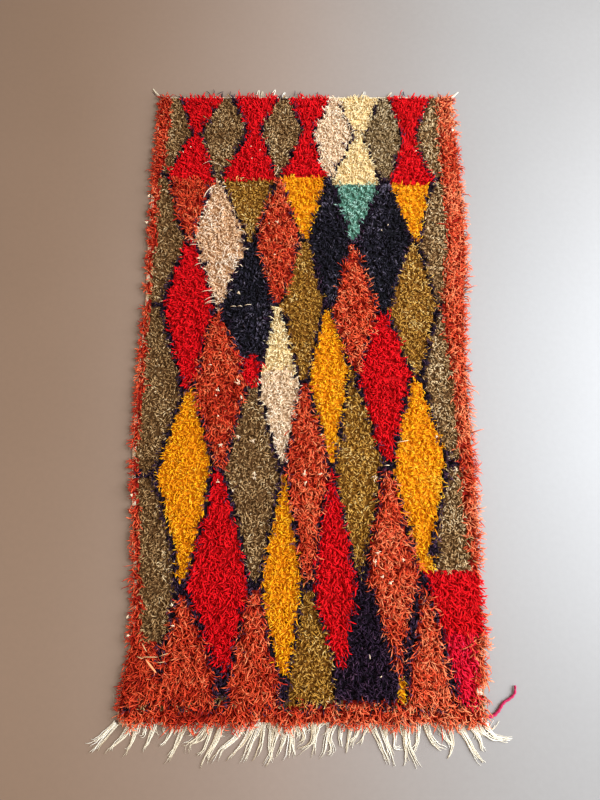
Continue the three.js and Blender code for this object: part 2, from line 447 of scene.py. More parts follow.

# Each yarn's painted shade deep in the pile, where the strands shade each other, and then its own shades
# from dark to light
yarnColours = {
    "brick": [(138, 12, 2), (180, 36, 12), (230, 72, 34), (248, 108, 62), (255, 152, 100)],
    "red": [(194, 0, 8), (206, 0, 9), (219, 0, 11), (228, 1, 15), (234, 6, 22)],
    "khaki": [(72, 46, 18), (128, 90, 50), (170, 129, 80), (206, 166, 112), (240, 210, 162)],
    "umber": [(84, 62, 34), (128, 100, 60), (166, 134, 90), (196, 166, 120), (224, 200, 160)],
    "gold": [(230, 136, 0), (242, 152, 0), (255, 174, 2), (255, 190, 14), (255, 206, 58)],
    "ochre": [(88, 50, 5), (154, 100, 24), (196, 140, 48), (226, 172, 78), (248, 212, 134)],
    "navy": [(4, 3, 7), (14, 12, 20), (26, 22, 34), (46, 40, 54), (112, 102, 118)],
    "aubergine": [(8, 2, 9), (24, 10, 26), (38, 18, 40), (56, 32, 56), (96, 62, 86)],
    "cream": [(228, 192, 152), (240, 208, 170), (250, 224, 188), (255, 231, 198), (255, 240, 216)],
    "straw": [(230, 197, 132), (242, 210, 151), (253, 225, 170), (255, 233, 183), (255, 240, 198)],
    "sand": [(200, 146, 98), (230, 184, 138), (248, 210, 168), (254, 226, 194), (255, 243, 222)],
    "teal": [(64, 110, 90), (94, 144, 122), (128, 176, 154), (156, 200, 178), (190, 224, 208)],
    "crimson": [(188, 0, 28), (212, 4, 34), (232, 6, 44), (240, 18, 54), (246, 46, 82)],
}
# How each yarn is cut and combed: short and long tufts to a knot, thickness and length in mm;
# then angles in degrees, which are how steeply its ends leave the ground and end, how far they
# curl and sway, and how far they stray from the comb, a whole patch together, one knot or one
# strand; then how much paler it is painted towards the right side, a painted light where the
# window lights it more
yarnColumns = ["short", "long", "thick", "length", "climb", "droop", "curl", "sway", "flow",
               "knotStray", "strandStray", "paintedRightLight"]
yarnRows = {
    "brick": (0.0, 2.05, 3.2, 37, 72, -12, 60, 40, 34, 22, 30, 0.17),
    "red": (0.9, 1.25, 4.4, 30, 72, 0, 30, 25, 46, 12, 20, 0),
    "khaki": (0.8, 1.15, 3.3, 25, 74, -2, 60, 40, 34, 50, 45, 0.12),
    "umber": (0.8, 1.15, 3.3, 24, 74, -2, 60, 40, 34, 50, 45, 0),
    "gold": (0.9, 1.2, 3.4, 26, 73, -2, 55, 35, 40, 40, 40, 0),
    "ochre": (0.8, 1.15, 3.1, 25, 74, -2, 65, 40, 34, 50, 45, 0),
    "navy": (0.8, 1.15, 3.8, 27, 72, 0, 40, 30, 46, 26, 30, 0),
    "aubergine": (0.7, 1.35, 3.3, 29, 79, 24, 50, 35, 40, 40, 40, 0),
    "cream": (0.9, 1.2, 3.6, 27, 73, -2, 50, 35, 40, 40, 40, 0),
    "straw": (0.9, 1.2, 3.6, 25, 73, -2, 45, 30, 40, 36, 36, 0),
    "sand": (0.9, 1.25, 3.4, 29, 73, -4, 60, 40, 40, 36, 40, 0),
    "teal": (0.9, 1.2, 3.5, 25, 73, -2, 50, 35, 40, 40, 40, 0),
    "crimson": (0.9, 1.25, 4.2, 29, 72, 0, 30, 25, 46, 14, 22, 0),
}
yarnNames = list(yarnRows)
yarns = {name: dict(zip(yarnColumns, row)) for name, row in yarnRows.items()}
for name, yarn in yarns.items():
    # The first colour, deep, is a painted shade for where the strands stand in each other's shade, not a
    # colour of the yarn
    yarn["deep"], *yarn["shades"] = [paint(*colour) for colour in yarnColours[name]]

# The chart, in millimetres on the rug. Each lozenge is widest along one row; its yarn may
# change there. Columns: yarn above, yarn below, top x, top y, left x, right x, widest y,
# foot x, foot y.
lozenges = [
    ("red", "red", -335, 1230, -410, -260, 1050, -350, 865),
    ("red", "red", -145, 1230, -220, -65, 1050, -155, 895),
    ("red", "red", 45, 1220, -30, 115, 1040, 25, 890),
    ("straw", "straw", 205, 1200, 140, 265, 1020, 200, 855),
    ("red", "red", 380, 1205, 310, 445, 1025, 370, 845),
    ("khaki", "khaki", -420, 1030, -475, -370, 885, -455, 720),
    ("khaki", "khaki", -260, 1015, -335, -180, 880, -270, 710),
    ("khaki", "khaki", -55, 1015, -125, 10, 890, -65, 735),
    ("cream", "cream", 120, 1020, 45, 180, 870, 95, 710),
    ("umber", "umber", 295, 1015, 220, 350, 865, 285, 695),
    ("khaki", "khaki", 465, 1020, 390, 510, 865, 455, 710),
    ("red", "brick", -350, 885, -435, -285, 705, -360, 485),
    ("red", "ochre", -155, 910, -260, -90, 705, -160, 480),
    ("red", "gold", 25, 900, -55, 90, 710, 20, 485),
    ("straw", "teal", 200, 870, 110, 270, 695, 175, 470),
    ("red", "gold", 370, 855, 300, 445, 690, 380, 485),
    ("khaki", "khaki", -455, 725, -535, -375, 475, -455, 260),
    ("sand", "sand", -275, 695, -345, -170, 495, -255, 250),
    ("brick", "brick", -65, 695, -140, -5, 495, -70, 260),
    ("navy", "navy", 100, 705, 35, 170, 485, 95, 250),
    ("navy", "navy", 285, 700, 185, 360, 485, 265, 235),
    ("khaki", "khaki", 455, 710, 390, 535, 465, 455, 260),
    ("red", "red", -350, 475, -440, -265, 250, -345, -5),
    ("navy", "navy", -145, 485, -250, -80, 260, -130, 60),
    ("red", "red", -145, 105, -185, -115, 65, -145, -10),
    ("ochre", "ochre", 20, 485, -55, 75, 265, 15, 10),
    ("brick", "brick", 175, 465, 105, 245, 245, 180, 40),
    ("ochre", "ochre", 370, 480, 280, 440, 245, 360, 25),
    ("khaki", "khaki", -455, 270, -565, -365, 10, -455, -285),
    ("brick", "brick", -270, 240, -320, -165, 0, -235, -255),
    ("straw", "cream", -70, 265, -125, 0, -20, -50, -240),
    ("gold", "gold", 90, 250, 25, 155, 0, 100, -250),
    ("red", "red", 265, 235, 170, 350, 30, 265, -240),
    ("khaki", "khaki", 455, 265, 385, 570, 20, 465, -250),
    ("gold", "gold", -340, -20, -430, -260, -285, -330, -595),
    ("khaki", "khaki", -145, 0, -225, -60, -265, -130, -595),
    ("brick", "brick", 15, 5, -40, 95, -250, 25, -595),
    ("ochre", "ochre", 160, 35, 100, 255, -250, 175, -565),
    ("gold", "gold", 355, 25, 275, 445, -250, 365, -585),
    ("khaki", "khaki", -455, -270, -560, -360, -500, -400, -770),
    ("red", "red", -240, -265, -335, -140, -595, -220, -840),
    ("gold", "gold", -45, -310, -115, 15, -600, -35, -840),
    ("red", "red", 90, -255, 35, 170, -600, 120, -810),
    ("brick", "brick", 260, -250, 190, 350, -560, 295, -830),
    ("khaki", "khaki", 465, -240, 380, 595, -495, 470, -760),
    ("brick", "brick", -325, -620, -410, -200, -890, -325, -1160),
    ("brick", "brick", -130, -590, -200, -65, -885, -130, -1180),
    ("ochre", "ochre", 20, -580, -40, 110, -865, 30, -1150),
    ("aubergine", "aubergine", 180, -565, 115, 275, -885, 190, -1200),
    ("brick", "brick", 360, -600, 295, 435, -885, 370, -1170),
    ("gold", "gold", 290, -835, 268, 304, -890, 292, -955),
    ("aubergine", "khaki", -222, -800, -246, -192, -885, -222, -1010),
    ("aubergine", "aubergine", -45, -835, -64, -32, -905, -44, -1010),
    ("aubergine", "aubergine", 101, -815, 90, 114, -880, 98, -1000),
    ("aubergine", "aubergine", -406, -748, -440, -374, -800, -408, -862),
    ("aubergine", "aubergine", -410, -858, -426, -392, -886, -410, -925),
    ("aubergine", "aubergine", 445, -800, 425, 462, -880, 462, -990),
    ("aubergine", "aubergine", 296, -700, 282, 318, -752, 300, -850),
    ("aubergine", "aubergine", 346, -560, 314, 340, -652, 306, -752),
]

# Where the brick border stops on each side, (x, y) from the fringed end up
border = {
    "left": [(-395, -952), (-395, -760), (-440, -745), (-450, -695), (-464, -475), (-487, -285),
             (-482, -60), (-480, 20), (-477, 260), (-470, 475), (-470, 710), (-455, 775),
             (-445, 885), (-440, 1038)],
    "right": [(482, -952), (488, -917), (492, -730), (518, -715), (518, -570), (495, -545),
              (495, -497), (482, -248), (475, -52), (476, 20), (451, 245), (483, 465),
              (477, 820), (473, 1030)],
}
chart = {
    "outline": 0.15,  # how wide the dark line between two lozenges is, how much it gains down
    "outlineGain": 0.14,  # to the fringed end, and how wide it is at their tips
    "outlineAtTips": 0.06,
    "outlineRise": 1800,  # the gain is spread over this much of the rug's length, mm
    "fullness": 1.12,  # above 1 a lozenge's sides swell outwards
    "spine": 4.0,  # half the width a lozenge keeps right to its tips, mm
    "raggedness": 2.4,  # how far a knot may stray across a line, mm
    "lean": 6.0,  # the pattern is tied this much higher, as its pile lies down the rug, mm
    "unlined": ["red", "straw"],  # no line between two of these
    "earlyChange": 62,  # straw gives way to cream this far above the widest row, mm,
    "changeBlur": 16,  # and strays this far
    "bottomBand": -908,  # below this the border runs right across
    "blocks": [
        {"yarn": "red", "left": 362, "slant": 0.30, "top": -560, "bottom": -718},
        {"yarn": "crimson", "left": 408, "slant": 0.20, "top": -718, "bottom": -925},
    ],
    "blockLine": 15,  # width of the dark line on a block's left, mm
    "mixedRows": (-926, -896),  # leftover yarns are tied in here and there between these
    "mixedAbove": 0.25,  # in the knots whose third wander is above this
}


# How far out a point lies in each lozenge, 0 on the middle of the widest row and 1 on the
# outline: its distance from the axis over half the width, and its rise above or below the
# widest row over that half's height, each to the power of the fullness and added. Also the
# rise as a share of the two, which is 1 at a tip.
def reachIn(rows, x, y):
    topX, topY, leftX, rightX, wideY, footX, footY = rows.T[..., None]
    up = np.maximum((y - wideY) / (topY - wideY), 0)
    down = np.maximum((wideY - y) / (wideY - footY), 0)
    middle = (leftX + rightX) / 2
    axis = middle + (topX - middle) * up + (footX - middle) * down
    spine = chart["spine"]
    across = np.maximum(abs(x - axis) - spine, 0) / ((rightX - leftX) / 2 - spine)
    full = chart["fullness"]
    reach = (across**full + (up + down) ** full) ** (1 / full)
    return reach, (up + down) / np.maximum(across + up + down, tiny)


# Which yarn each knot is tied in, as a place in yarnNames, and whether it is in the border. The
# knots wander by four rows of random numbers: two move them against the chart, and two choose
# where yarns change and mix.
def readChart(x, y, wander):
    rows = np.array([row[2:] for row in lozenges], float)
    above = np.array([yarnNames.index(row[0]) for row in lozenges])
    below = np.array([yarnNames.index(row[1]) for row in lozenges])
    y = y - chart["lean"]
    strayX = x + wander[0] * chart["raggedness"]
    strayY = y + wander[1] * chart["raggedness"]
    reach, tipShare = reachIn(rows, strayX, strayY)
    order = np.argsort(reach, axis=0)[:2]
    near, far = np.take_along_axis(reach, order, axis=0)
    tipShare = np.take_along_axis(tipShare, order[:1], axis=0)[0]
    early = (above == yarnNames.index("straw")) & (below == yarnNames.index("cream"))
    change = (rows[:, 4] + chart["earlyChange"] * early)[order]
    change = change + chart["changeBlur"] * early[order] * wander[2]
    yarn, neighbour = np.where(y >= change, above[order], below[order])
    line = chart["outline"] + chart["outlineGain"] * np.clip(0.5 - y / chart["outlineRise"], 0, 1)
    line = line + (chart["outlineAtTips"] - line) * tipShare
    unlined = np.isin(yarn, [yarnNames.index(name) for name in chart["unlined"]])
    between = (far - near < line) & ~(unlined & (yarn == neighbour))
    yarn[between] = yarnNames.index("aubergine")
    for block in chart["blocks"]:
        edge = block["left"] + block["slant"] * (block["top"] - y)
        beside = (y <= block["top"]) & (y > block["bottom"])
        yarn[beside & (strayX > edge - chart["blockLine"])] = yarnNames.index("aubergine")
        yarn[beside & (x > edge)] = yarnNames.index(block["yarn"])
    leftX, leftY = np.array(border["left"], float).T
    rightX, rightY = np.array(border["right"], float).T
    inBorder = strayX < np.interp(y, leftY, leftX)
    inBorder |= strayX > np.interp(y, rightY, rightX)
    inBorder |= strayY < chart["bottomBand"]
    yarn[inBorder] = yarnNames.index("brick")
    low, high = chart["mixedRows"]
    mixed = (y > low) & (y < high) & (yarn == yarnNames.index("brick"))
    mixed &= wander[2] > chart["mixedAbove"]
    yarn[mixed & (wander[3] > 0)] = yarnNames.index("khaki")
    yarn[mixed & (wander[3] <= 0)] = yarnNames.index("aubergine")
    return yarn, inBorder & ~mixed


# The ground: warp and weft with a row of knots every few wefts, and a plain heading at each end
weave = {
    "knotsAcross": 106,
    "knotRows": 142,
    "inset": 8,  # the pile leans this far past the ground, mm
    "fringeHeading": 7,
    "plainHeading": 4.5,
    "thickness": 4.4,
    "floorGap": 0.4,
    "rib": 0.5,
    "headingDrop": 1.2,  # the headings are this much thinner, mm
    "lockColumns": 2.0,  # knots to a lock, across and along
    "lockRows": 1.4,
    "lockScatter": 0.6,  # how far a knot may stray into the next lock, in knots
    "flow": {"waves": 16, "shortest": 0.035, "longest": 0.10},  # how patches of pile turn together
    "seed": 11,
}


# Left and right edge of the pile at height y, from the CAD body's own corners
def pileEdges(y):
    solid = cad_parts["rug_body"].data
    corners = np.empty(len(solid.vertices) * 3)
    solid.vertices.foreach_get("co", corners)
    corners = corners.reshape(-1, 3)
    rows, place = np.unique(np.round(corners[:, 1], 4), return_inverse=True)
    left = np.full(len(rows), np.inf)
    right = -left
    np.minimum.at(left, place.ravel(), corners[:, 0])
    np.maximum.at(right, place.ravel(), corners[:, 0])
    return np.interp(y, rows, left), np.interp(y, rows, right)


pileLow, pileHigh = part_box("rug_body")
knotStations = np.linspace(pileLow.y, pileHigh.y, weave["knotRows"] + 1)
allStations = np.concatenate([
    pileLow.y - np.array([1, 0.5]) * weave["fringeHeading"] * mm,  # two rows of heading
    knotStations,
    [pileHigh.y + weave["plainHeading"] * mm],
])
acrossShares = np.linspace(0, 1, weave["knotsAcross"] + 1)


# A point on the ground: across is the share from the left selvedge to the right one
def onGround(across, y):
    left, right = pileEdges(y)
    inset = weave["inset"] * mm
    return left + inset + across * (right - left - 2 * inset)


# A slow drift between about -1 and 1 over the rug: sine waves in random directions, added
def drift(x, y, chance, waves=7, shortest=0.05, longest=0.35):
    length = chance.uniform(shortest, longest, waves)[:, None]
    heading = chance.uniform(0, 2 * math.pi, waves)[:, None]
    phase = chance.uniform(0, 2 * math.pi, waves)[:, None]
    path = x * np.cos(heading) + y * np.sin(heading)
    return np.sin(2 * math.pi * path / length + phase).mean(axis=0) * math.sqrt(waves)


# Where the outermost knots have worn away: from and to in mm, down the rug at its sides and
# across it at its foot, and how many knots deep
worn = {
    "left": [(690, 676, 1), (640, 620, 1), (566, 562, 1), (512, 505, 1), (458, 454, 1), (368, 350, 1),
             (300, 284, 1), (-97, -105, 1), (-190, -214, 1), (-278, -282, 1), (-330, -352, 1),
             (-530, -537, 1), (-582, -586, 1), (-648, -652, 1), (-694, -700, 1), (-940, -972, 2)],
    "right": [(1002, 994, 1), (963, 955, 1), (912, 904, 1), (869, 861, 1), (-768, -776, 1), (-868, -876, 2),
              (-934, -972, 1)],
    "foot": [(-516, -486, 1), (-414, -398, 1), (-118, -110, 1), (96, 104, 1), (282, 296, 1)],
}


# Which knots are worn away: at a side those no further than half a row past a worn stretch, as
# deep as it goes, and at the foot those between its two places, as many rows up
def isWorn(columns, x, y):
    halfRow = (knotStations[1] - knotStations[0]) / mm / 2
    gone = np.zeros(len(y), bool)
    for side in ("left", "right"):
        inward = columns if side == "left" else weave["knotsAcross"] - 1 - columns
        for high, low, deep in worn[side]:
            gone |= (inward < deep) & (y / mm < high + halfRow) & (y / mm > low - halfRow)
    for start, end, deep in worn["foot"]:
        gone |= (x / mm > start) & (x / mm < end) & (y < knotStations[deep])
    return gone


# Every knot of the rug, row by row from the fringed end and from left to right: its place, its
# yarn, or -1 where it is worn away, the middle of its lock and how the pile turns there
def tieKnots():
    chance = np.random.default_rng(weave["seed"])
    across = (acrossShares[:-1] + acrossShares[1:]) / 2
    along = (knotStations[:-1] + knotStations[1:]) / 2
    y = np.repeat(along, len(across))
    x = onGround(np.tile(across, len(along)), y)
    wander = chance.standard_normal((4, len(x)))
    yarn, inBorder = readChart(x / mm, y / mm, wander)
    row, column = np.divmod(np.arange(len(x)), len(across))
    yarn[isWorn(column, x, y)] = -1
    # Neighbouring knots hang together in locks: each knot gets its lock's number and its middle
    stray = weave["lockScatter"]
    lockColumn = np.floor((column + chance.uniform(-stray, stray, len(x))) / weave["lockColumns"])
    lockRow = np.floor((row + chance.uniform(-stray, stray, len(x))) / weave["lockRows"])
    lock = ((lockRow + 1) * len(across) + lockColumn + 1).astype(int)
    held = np.maximum(np.bincount(lock), 1)
    return {
        "x": x,
        "y": y,
        "yarn": yarn,
        "inBorder": inBorder,
        "lockX": (np.bincount(lock, x) / held)[lock],
        "lockY": (np.bincount(lock, y) / held)[lock],
        "flow": drift(x, y, chance, **weave["flow"]),
    }


knots = tieKnots()
print("knots tied:", len(knots["x"]))

pile = {
    "rootHeight": 2.6,  # where a tuft bends round its warps, mm
    "rootScatter": 0.34,  # how far tufts stray from their knot, as a share of the pitch
    "fan": 30,  # how far the pile at the two sides is combed outwards, degrees
    "turnUp": (0.35, 0.95),  # between these shares of the length the pile begins to lie up the rug
    "upShare": 0.7,  # share of the knots that lie that way at the plain end
    "edgeReach": 34,  # within this much of a side the pile turns outwards, mm
    "edgeTurn": 0.8,
    "sideLean": 10,  # and there it lies this much off square, degrees
    "edgeDroop": 22,
    "leftTrim": 0.34,  # how much shorter it has worn at the left side
    "hemWave": 0.7,  # how unevenly the last rows hang over the fringe
    "hemDepth": 30,  # within this much of the fringed end, mm
    "hem": {"waves": 9, "shortest": 0.04, "longest": 0.2},  # in waves this long, metres
    "topLength": 0.84,  # length at the plain end, as a share of that at the fringed end
    "lengths": (0.7, 1.2),  # shortest and longest end, as shares of the yarn's length
    "straggler": 1.4,  # a few ends are this much longer
    "stragglers": 0.06,
    "thicknesses": (0.85, 1.15),
    "climbScatter": 9,  # how the climb and the droop vary from end to end, degrees
    "droopScatter": 16,
    "climbs": (20, 88),
    "edgeClimb": 24,  # how much less steeply ends leave the ground right at the sides
    "lock": 0.18,  # how far ends lean in to the middle of their lock
    "edgeCalm": 0.7,  # how much less a knot strays right at the sides, and a strand
    "strandCalm": 0.5,
    "thin": 0.22,  # how much thinner a strand is at its tip
    "around": 3,
    "middleShade": 0.5,
    "patch": 0.15,  # how much the shade drifts from place to place
    "scatter": 0.22,  # and from strand to strand
    "palest": 0.999,  # a shade stays below 1, which would be the next column of the card
    "rest": 1.8,  # lowest a strand may lie above the floor, mm
    "crest": (20, 32),  # above the first height strands are pressed down, to stay below the second
    "edgeMore": 0.7,  # more tufts to a knot right at the sides
    "seed": 29,
}
# Long tufts make the surface and short ones fill between them. Stops are the places of an end's
# rings, as shares of its length; the last one is its tip. Length is a share of the yarn's, and
# climb and split, in degrees, are how much steeper an end is and how far the two ends part.
tuftKinds = {
    "short": {"stops": [0.66, 1.0], "length": 0.66, "climb": 8, "split": 24},
    "long": {"stops": [0.34, 0.72, 1.0], "length": 1.0, "climb": 0, "split": 30},
}


# Which way each knot's pile lies, in radians, and how near it is to a side, 0 to 1: towards the
# fringed end, fanning out to the sides, but up the rug for more and more knots near the plain
# end, and turning nearly square to the side within edgeReach of it
def combed(x, y, chance):
    left, right = pileEdges(y)
    share = (2 * x - left - right) / (right - left)
    upRug = (y - pileLow.y) / (pileHigh.y - pileLow.y)
    low, high = pile["turnUp"]
    lying = pile["upShare"] * np.clip((upRug - low) / (high - low), 0, 1)
    up = chance.uniform(0, 1, len(x)) < lying
    heading = np.where(up, 90 - pile["fan"] * share, -90 + pile["fan"] * share)
    nearness = 1 - np.minimum(x - left, right - x) / (pile["edgeReach"] * mm)
    nearness = np.clip(nearness, 0, 1)
    lean = pile["sideLean"]
    outward = np.where(share > 0, -lean, np.where(up, 180 - lean, lean - 180))
    heading = heading + (outward - heading) * nearness * pile["edgeTurn"]
    return np.radians(heading), nearness


# Points on one cut end of a tuft: each step is a share of its length, and on the way from root
# to tip the climb falls evenly to the droop, while the heading turns evenly by the curl and
# sways once to each side
def cutEnd(root, heading, length, climb, droop, curl, sway, stops):
    shares = np.diff(stops, prepend=0)
    middle = stops - shares / 2
    rise = climb[:, None] + (droop - climb)[:, None] * middle
    turn = heading[:, None] + curl[:, None] * middle
    turn = turn + sway[:, None] * np.sin(2 * math.pi * middle)
    level = np.cos(rise)
    step = np.stack([level * np.cos(turn), level * np.sin(turn), np.sin(rise)], axis=-1)
    return root[:, None] + np.cumsum(step * (shares * length[:, None])[..., None], axis=1)


# Tufts are lengths of yarn bent round the warps at the middle, so both ends stand in the pile.
# Above the crest their height is pressed down as tanh. Returns their paths from tip to tip,
# their radii and how far along the yarn each point is.
def growTufts(tied, heading, nearness, yarn, kind, chance):
    x, y = tied["x"], tied["y"]
    count = len(x)
    pitch = np.array([
        (pileHigh.x - pileLow.x) / weave["knotsAcross"],
        (pileHigh.y - pileLow.y) / weave["knotRows"],
    ])
    root = np.stack([x, y, np.full(count, pile["rootHeight"] * mm)], axis=-1)
    root[:, :2] += chance.uniform(-1, 1, (count, 2)) * pile["rootScatter"] * pitch
    upRug = (y - pileLow.y) / (pileHigh.y - pileLow.y)
    full = yarn["length"] * kind["length"] * mm * (1 + (pile["topLength"] - 1) * upRug)
    full = full * (1 - pile["leftTrim"] * nearness * (x < 0))
    hem = np.clip(1 - (y - pileLow.y) / (pile["hemDepth"] * mm), 0, 1)
    full = full * (1 + pile["hemWave"] * hem * tied["hem"])
    lean = np.stack([tied["lockX"], tied["lockY"]], axis=-1) - root[:, :2]
    lean = lean * pile["lock"] * (1 - pile["edgeCalm"] * nearness)[:, None]
    stops = np.array(kind["stops"])
    ends = []
    for side in (-1, 1):
        length = full * chance.uniform(*pile["lengths"], count)
        straggles = chance.uniform(0, 1, count) < pile["stragglers"]
        length = length * np.where(straggles, pile["straggler"], 1)
        scatter = pile["climbScatter"] * chance.standard_normal(count)
        climb = yarn["climb"] + kind["climb"] + scatter - pile["edgeClimb"] * nearness
        scatter = pile["droopScatter"] * chance.standard_normal(count)
        droop = yarn["droop"] + scatter - pile["edgeDroop"] * nearness
        curl = yarn["curl"] * chance.standard_normal(count)
        sway = yarn["sway"] * chance.standard_normal(count)
        stray = side * kind["split"] + yarn["strandStray"] * chance.standard_normal(count)
        turned = heading + np.radians(stray * (1 - pile["strandCalm"] * nearness))
        climb = np.clip(climb, *pile["climbs"])
        end = cutEnd(root, turned, length, *np.radians([climb, droop, curl, sway]), stops)
        end[..., :2] += lean[:, None] * stops[:, None]
        ends.append(end)
    path = np.concatenate([ends[0][:, ::-1], root[:, None], ends[1]], axis=1)
    start, top = np.array(pile["crest"]) * mm
    over = np.maximum(path[..., 2] - start, 0)
    path[..., 2] = np.minimum(path[..., 2], start) + (top - start) * np.tanh(over / (top - start))
    path[..., 2] = np.maximum(path[..., 2], pile["rest"] * mm)
    alongYarn = np.concatenate([-stops[::-1], [0], stops])
    radius = yarn["thick"] / 2 * mm * chance.uniform(*pile["thicknesses"], count)
    taper = 1 - pile["thin"] * alongYarn**2
    return path, radius[:, None] * taper, 0.5 + 0.5 * alongYarn


# The pile of the chosen knots. A kind of tuft that a knot has a share of is tied at random.
def makePile(name, yarn, chosen, finish, chance):
    tied = {key: values[chosen] for key, values in knots.items()}
    heading, nearness = combed(tied["x"], tied["y"], chance)
    stray = yarn["knotStray"] * chance.standard_normal(len(heading)) + yarn["flow"] * tied["flow"]
    heading = heading + np.radians(stray * (1 - pile["edgeCalm"] * nearness))
    tied["hem"] = drift(tied["x"], 0 * tied["x"], chance, **pile["hem"])
    left, right = pileEdges(tied["y"])
    tone = pile["middleShade"] + pile["patch"] * drift(tied["x"], tied["y"], chance)
    # Painted light: the shade grows paler towards the right side, where the window's light falls
    tone = tone + yarn["paintedRightLight"] * (2 * tied["x"] - left - right) / (right - left)
    parts = []
    for kindName, kind in tuftKinds.items():
        share = yarn[kindName] + pile["edgeMore"] * nearness * (kindName == "long")
        repeats = np.floor(share + chance.uniform(0, 1, len(heading))).astype(int)
        which = np.repeat(np.arange(len(heading)), repeats)
        if not len(which):
            continue
        held = {key: values[which] for key, values in tied.items()}
        path, radii, heights = growTufts(held, heading[which], nearness[which], yarn, kind, chance)
        shade = tone[which] + pile["scatter"] * chance.standard_normal(len(which))
        shade = np.clip(shade, 0, pile["palest"])
        parts.append(tubes(path, radii, pile["around"], shade, True, heights))
    return addTubes(name, parts, finish)


# One piece for each yarn, and two for the brick yarn, of which there is most
def makeAllPile():
    pieces = []
    finishes = {}
    for yarnName, yarn in yarns.items():
        chance = np.random.default_rng(pile["seed"] + yarnNames.index(yarnName))
        finish = finishes[yarnName] = yarnFinish(yarnName + " yarn", yarn["shades"], yarn["deep"])
        tied = knots["yarn"] == yarnNames.index(yarnName)
        if yarnName == "brick":
            areas = {
                "pile_brick_border": tied & knots["inBorder"],
                "pile_brick_lozenges": tied & ~knots["inBorder"],
            }
        else:
            areas = {"pile_" + yarnName: tied}
        for name, chosen in areas.items():
            pieces.append(makePile(name, yarn, chosen, finish, chance))
    print("pile:", len(pieces), "pieces,", sum(triangles[piece.name] for piece in pieces), "triangles")
    return pieces, finishes


pilePieces, pileFinishes = makeAllPile()

# Loose strands, stitches and specks lying on top of the pile, by yarn: where each begins, its
# length and thickness in mm, where it heads and how far it curls on the way, in degrees
strays = {
    "cream": [
        (-262, 690, 74, 2.4, 205, 45), (-258, 322, 48, 2.0, 165, -30), (-256, 306, 52, 2.0, 172, 20),
        (-254, 290, 46, 1.8, 185, 25), (-256, 276, 44, 2.0, 178, 40), (-252, 264, 40, 1.8, 160, 40),
        (-262, 334, 40, 1.8, 150, -40), (-246, 318, 44, 2.2, 60, -40), (-214, 510, 34, 2.2, 20, -30),
        (-222, 384, 26, 2.4, 15, 0), (-306, 404, 30, 2.0, 190, 20), (-322, 470, 32, 2.0, 195, -20),
        (-222, 254, 20, 2.0, 5, 0), (-198, 256, 16, 2.0, 0, 0), (-178, 258, 24, 2.0, 8, 0),
        (-368, 820, 6, 2.6, 40, 0), (-388, 801, 6, 2.4, 120, 0), (-166, 824, 5, 2.4, 10, 0),
        (-133, 808, 6, 2.4, 70, 0), (-162, 778, 5, 2.2, 30, 0), (385, 805, 8, 3.0, 20, 0),
        (286, 532, 7, 2.8, 60, 0), (269, 514, 6, 2.4, 130, 0), (-96, 540, 6, 2.6, 150, 0),
        (-85, 430, 8, 2.6, 20, 0), (-252, -37, 7, 2.8, 120, 0), (-284, 64, 13, 2.2, 0, 0),
        (249, -247, 18, 2.6, 2, 0), (281, -180, 44, 1.8, 10, 0), (221, -833, 8, 2.6, 30, 0),
        (197, -789, 14, 2.4, 95, 0), (-52, 4, 8, 2.6, 80, 0), (62, -158, 8, 2.6, 40, 0),
    ],
    "sand": [(-332, 748, 60, 1.2, 50, -75), (-300, 758, 40, 1.2, 10, -40), (-90, 712, 44, 1.4, 40, 50)],
    "khaki": [
        (-384, -782, 54, 2.8, 172, 14), (-424, -772, 30, 2.4, 110, 20), (-396, -782, 30, 2.2, 30, -20),
        (-404, -792, 28, 2.2, -10, 20), (-430, -786, 22, 2.2, 160, 0),
    ],
    "red": [(-214, 126, 60, 2.2, -70, 60)],
    "brick": [(-436, -778, 54, 6.4, -44, -8)],
    "aubergine": [
        (-308, 1036, 26, 2.4, 100, 60), (-286, 1038, 28, 2.4, 70, -70), (-300, 1040, 24, 2.2, 60, 60),
        (-246, 1036, 20, 2.2, 60, 30), (-18, 1036, 22, 2.4, 75, 20), (-8, 1034, 24, 2.2, 50, 30),
        (356, 1034, 22, 2.4, 60, 30), (366, 1034, 20, 2.2, 100, 20), (62, 1036, 18, 2.2, 70, 40),
        (-492, 1018, 22, 2.0, 120, 20), (-176, 1036, 20, 2.2, 30, 40),
    ],
}
strayShape = {
    "height": 26.0,  # of the pile they lie on, mm
    "arch": 3.0,
    "dipLength": 16.0,  # each end dips by its length over dipPart, counted up to dipLength
    "dipPart": 3,
    "dipPower": 0.4,
    "pastEdge": 1030.0,
    "lowHeight": 5.0,
    "tipShare": 0.55,  # thickness at the tips, as a share, and how much is gained at the middle
    "middleGain": 0.45,
    "cardReach": 0.1,
    "stations": 8,
    "around": 4,
}
# Where their shade lies between their yarn's darkest and palest
strayShades = {
    "cream": 0.25,
    "sand": 0.5,
    "khaki": 0.7,
    "red": 0.6,
    "brick": 0.99,
    "aubergine": 0.4,
}
# Tangles of short cream ends that have worked up through the pile: middle and width in mm
tangles = [
    (-72, 548, 9), (-192, 300, 9), (-190, 11, 17), (-251, -15, 10), (-176, -40, 9), (-247, -96, 8),
    (-186, -160, 13), (-141, -173, 17), (-236, -187, 16), (-135, -270, 13), (-134, -284, 13),
    (-242, -295, 10), (-197, -319, 10), (18, -270, 16), (17, -297, 14), (61, -272, 9),
    (224, -282, 15), (463, -257, 12), (414, -160, 8), (226, -498, 13), (218, -526, 18),
    (299, -519, 9), (259, -580, 15), (238, -566, 9), (-361, -642, 9), (-356, -696, 9),
    (-484, -672, 8), (-480, -723, 9), (-497, 640, 8), (-499, 545, 9), (-494, -334, 9),
]
tangle = {
    "curls": 6,
    "share": (0.5, 1.0),  # a curl's length, and how far its middle is off, as shares of the width
    "offset": 0.25,
    "thickness": (1.5, 2.6),  # mm
    "curl": 170,  # degrees
    "seed": 83,
}


